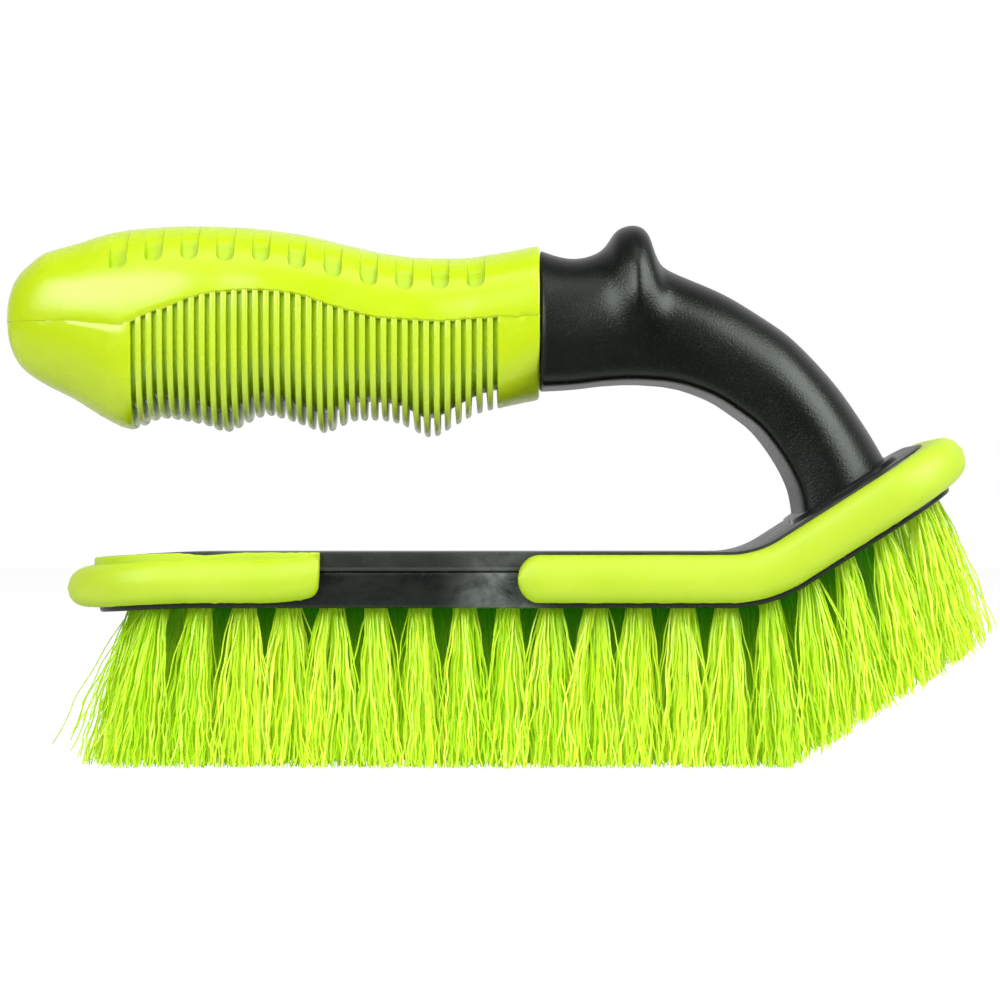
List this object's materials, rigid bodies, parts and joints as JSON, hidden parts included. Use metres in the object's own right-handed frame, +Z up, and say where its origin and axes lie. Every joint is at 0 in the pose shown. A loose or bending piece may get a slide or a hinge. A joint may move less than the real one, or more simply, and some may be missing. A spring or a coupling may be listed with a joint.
{
  "type": "car mat brush",
  "caption": "Scrubbing brush with a bent bristle block, a hooked handle with a thumb rest, a finned rubber grip and rubber bumpers round both ends of the block.",
  "frame": {"origin": "middle of the brush's box in plan, on the plane of the bristle tips", "axes": "+X to the raised nose, along the brush; +Y across it; +Z up"},
  "size_m": [0.2143, 0.064, 0.1174],
  "materials": {
    "black_plastic": "satin",
    "grip_rubber": "satin",
    "bumper_rubber": "satin",
    "bristle_nylon": "satin"
  },
  "bodies": {
    "root": {"handle_frame": "black_plastic", "bristle_plate": "black_plastic", "grip_sleeve": "grip_rubber", "rear_bumper": "bumper_rubber", "front_bumper": "bumper_rubber", "tuft_row_01": "bristle_nylon", "tuft_row_02": "bristle_nylon", "tuft_row_03": "bristle_nylon", "tuft_row_04": "bristle_nylon", "tuft_row_05": "bristle_nylon", "tuft_row_06": "bristle_nylon", "tuft_row_07": "bristle_nylon", "tuft_row_08": "bristle_nylon", "tuft_row_09": "bristle_nylon", "tuft_row_10": "bristle_nylon", "tuft_row_11": "bristle_nylon", "tuft_row_12": "bristle_nylon", "tuft_row_13": "bristle_nylon", "tuft_row_14": "bristle_nylon", "tuft_row_15": "bristle_nylon", "tuft_row_16": "bristle_nylon", "tuft_row_17": "bristle_nylon", "tuft_row_18": "bristle_nylon", "tuft_row_19": "bristle_nylon", "tuft_row_20": "bristle_nylon"}
  },
  "joints": []
}
